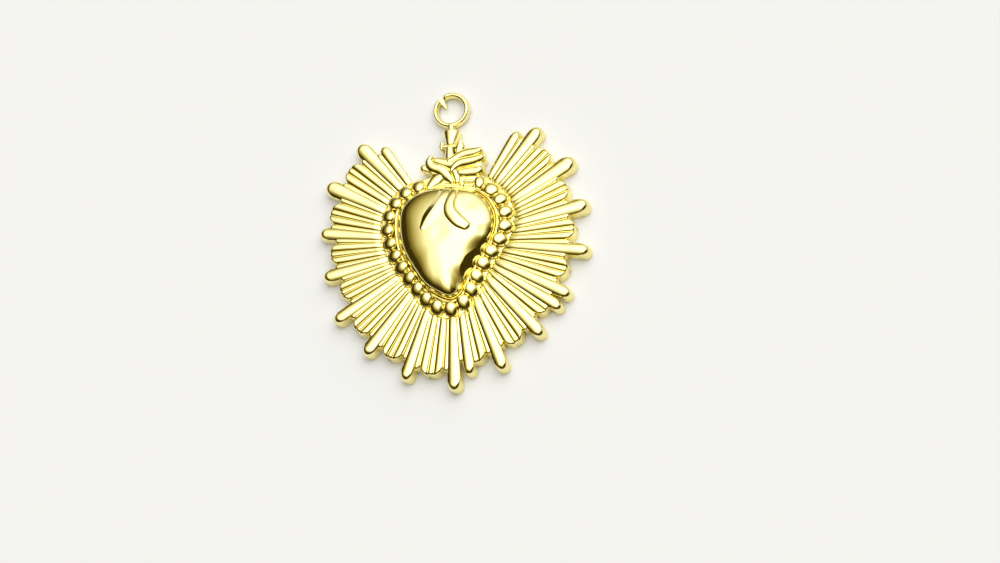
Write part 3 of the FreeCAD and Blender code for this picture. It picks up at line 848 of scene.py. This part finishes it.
def barb(casting):
    """Bent spur that points into the eye from the nick in its band."""
    rx, ry = BARB_ROOT
    tx, ty = BARB_TIP
    length = math.hypot(tx - rx, ty - ry)
    ax, ay = (tx - rx) / length, (ty - ry) / length
    rows = []
    for part, width, low, high in BARB_STATIONS:
        x, y = rx + (tx - rx) * part, ry + (ty - ry) * part
        w = BARB_HALF_WIDTH * width
        corners = [(side, low + lift) for side, lift in BARB_LOW_CORNERS]
        corners += [(side, high * share) for side, share in BARB_HIGH_CORNERS]
        rows.append([(x + ay * w * side, y - ax * w * side, z) for side, z in corners])
    casting.grid(rows, close_columns=True, caps=True)


def gold():
    """Polished cast gold: slight tone changes, fine scratches and a soft waviness."""
    mat = bpy.data.materials.new("polished_gold")
    mat.use_nodes = True
    nodes, links = mat.node_tree.nodes, mat.node_tree.links
    shader = nodes["Principled BSDF"]
    shader.inputs["Metallic"].default_value = 1.0
    place = nodes.new("ShaderNodeTexCoord")

    def noise(scale, detail):
        node = nodes.new("ShaderNodeTexNoise")
        node.inputs["Scale"].default_value = scale
        node.inputs["Detail"].default_value = detail
        links.new(place.outputs["Object"], node.inputs["Vector"])
        return node

    tone = nodes.new("ShaderNodeMix")
    tone.data_type = "RGBA"
    tone.inputs["A"].default_value, tone.inputs["B"].default_value = GOLD_TONES
    links.new(noise(TONE_SCALE, 3).outputs["Fac"], tone.inputs["Factor"])
    links.new(tone.outputs["Result"], shader.inputs["Base Color"])

    rough = nodes.new("ShaderNodeMapRange")
    rough.inputs["To Min"].default_value, rough.inputs["To Max"].default_value = GOLD_ROUGHNESS
    links.new(noise(SCRATCH_SCALE, 5).outputs["Fac"], rough.inputs["Value"])
    links.new(rough.outputs["Result"], shader.inputs["Roughness"])

    wave = nodes.new("ShaderNodeBump")
    wave.inputs["Strength"].default_value = WAVE_STRENGTH
    wave.inputs["Distance"].default_value = WAVE_DEPTH
    links.new(noise(WAVE_SCALE, 2).outputs["Fac"], wave.inputs["Height"])
    links.new(wave.outputs["Normal"], shader.inputs["Normal"])
    return mat


def floor():
    """Wide pale table top that is only seen from above."""
    bpy.ops.mesh.primitive_circle_add(vertices=128, radius=FLOOR_RADIUS, fill_type="NGON",
                                      location=(0, 0, FLOOR_HEIGHT))
    table = bpy.context.object
    table.name = "floor"
    mat = bpy.data.materials.new("pale_floor")
    mat.use_nodes = True
    nodes, links = mat.node_tree.nodes, mat.node_tree.links
    shader = nodes["Principled BSDF"]
    shader.inputs["Base Color"].default_value = FLOOR_COLOUR
    shader.inputs["Roughness"].default_value = FLOOR_ROUGHNESS
    shader.inputs["Specular IOR Level"].default_value = FLOOR_SPECULAR
    side = nodes.new("ShaderNodeNewGeometry")
    clear = nodes.new("ShaderNodeBsdfTransparent")
    both = nodes.new("ShaderNodeMixShader")
    links.new(side.outputs["Backfacing"], both.inputs["Fac"])
    links.new(shader.outputs["BSDF"], both.inputs[1])
    links.new(clear.outputs["BSDF"], both.inputs[2])
    links.new(both.outputs["Shader"], nodes["Material Output"].inputs["Surface"])
    table.data.materials.append(mat)


def studio():
    """Soft white light from overhead that dims towards the dark walls of the room."""
    world = bpy.data.worlds.new("studio")
    bpy.context.scene.world = world
    world.use_nodes = True
    nodes, links = world.node_tree.nodes, world.node_tree.links
    sky = nodes["Background"]
    place = nodes.new("ShaderNodeTexCoord")

    def towards(direction):
        node = nodes.new("ShaderNodeVectorMath")
        node.operation = "DOT_PRODUCT"
        node.inputs[1].default_value = direction
        links.new(place.outputs["Generated"], node.inputs[0])
        return node.outputs["Value"]

    def sums(operation, first, second, third=0.0):
        node = nodes.new("ShaderNodeMath")
        node.operation = operation
        for socket, value in zip(node.inputs, (first, second, third)):
            if isinstance(value, float):
                socket.default_value = value
            else:
                links.new(value, socket)
        return node.outputs["Value"]

    level = towards(LIGHT_AIM)
    front = sums("MAXIMUM", towards(FRONT_AIM), 0.0)
    level = sums("MULTIPLY_ADD", front, -FRONT_DIM, level)
    back = sums("MAXIMUM", towards(BACK_AIM), 0.0)
    level = sums("MULTIPLY_ADD", sums("POWER", back, 2.0), BACK_GLOW, level)
    corner = sums("MAXIMUM", sums("SUBTRACT", towards(DARK_CORNER), CORNER_SIZE), 0.0)
    level = sums("MULTIPLY_ADD", corner, -CORNER_DEPTH, level)
    ramp = nodes.new("ShaderNodeValToRGB")
    ramp.color_ramp.interpolation = "EASE"
    stops = ramp.color_ramp.elements
    while len(stops) < len(ROOM):
        stops.new(0.5)
    for stop, (position, colour) in zip(stops, ROOM):
        stop.position = position
        stop.color = (*colour, 1)
    links.new(level, ramp.inputs["Fac"])
    links.new(ramp.outputs["Color"], sky.inputs["Color"])
    sky.inputs["Strength"].default_value = ROOM_LIGHT


def camera():
    """Camera at the photograph's place and framing."""
    right, up = Vector(CAMERA_RIGHT), Vector(CAMERA_UP)
    back = right.cross(up).normalized()
    target = Vector(LOOK_AT) * MM
    cam = bpy.data.objects.new("camera", bpy.data.cameras.new("camera"))
    cam.data.sensor_width = SENSOR_WIDTH
    cam.data.lens = FOCAL_PIXELS / PHOTO_SIZE[0] * SENSOR_WIDTH
    cam.data.clip_start, cam.data.clip_end = CLIP_START, CLIP_END
    aside = (PHOTO_SIZE[0] / 2 - LOOK_AT_PIXEL[0]) / FOCAL_PIXELS
    below = (PHOTO_SIZE[1] / 2 - LOOK_AT_PIXEL[1]) / FOCAL_PIXELS
    forward = (-back + right * aside - up * below).normalized()
    side = forward.cross(up).normalized()
    top = side.cross(forward)
    place = target + back * CAMERA_DISTANCE * MM
    cam.matrix_world = Matrix((
        (side.x, top.x, -forward.x, place.x),
        (side.y, top.y, -forward.y, place.y),
        (side.z, top.z, -forward.z, place.z),
        (0, 0, 0, 1)))
    bpy.context.collection.objects.link(cam)
    bpy.context.scene.camera = cam


finish_gold = gold()
for piece in (make_fan(), make_beads(), make_heart(), make_flames(), make_eye()):
    piece.data.materials.append(finish_gold)
floor()
studio()
camera()
bpy.context.scene.view_settings.view_transform = "Standard"
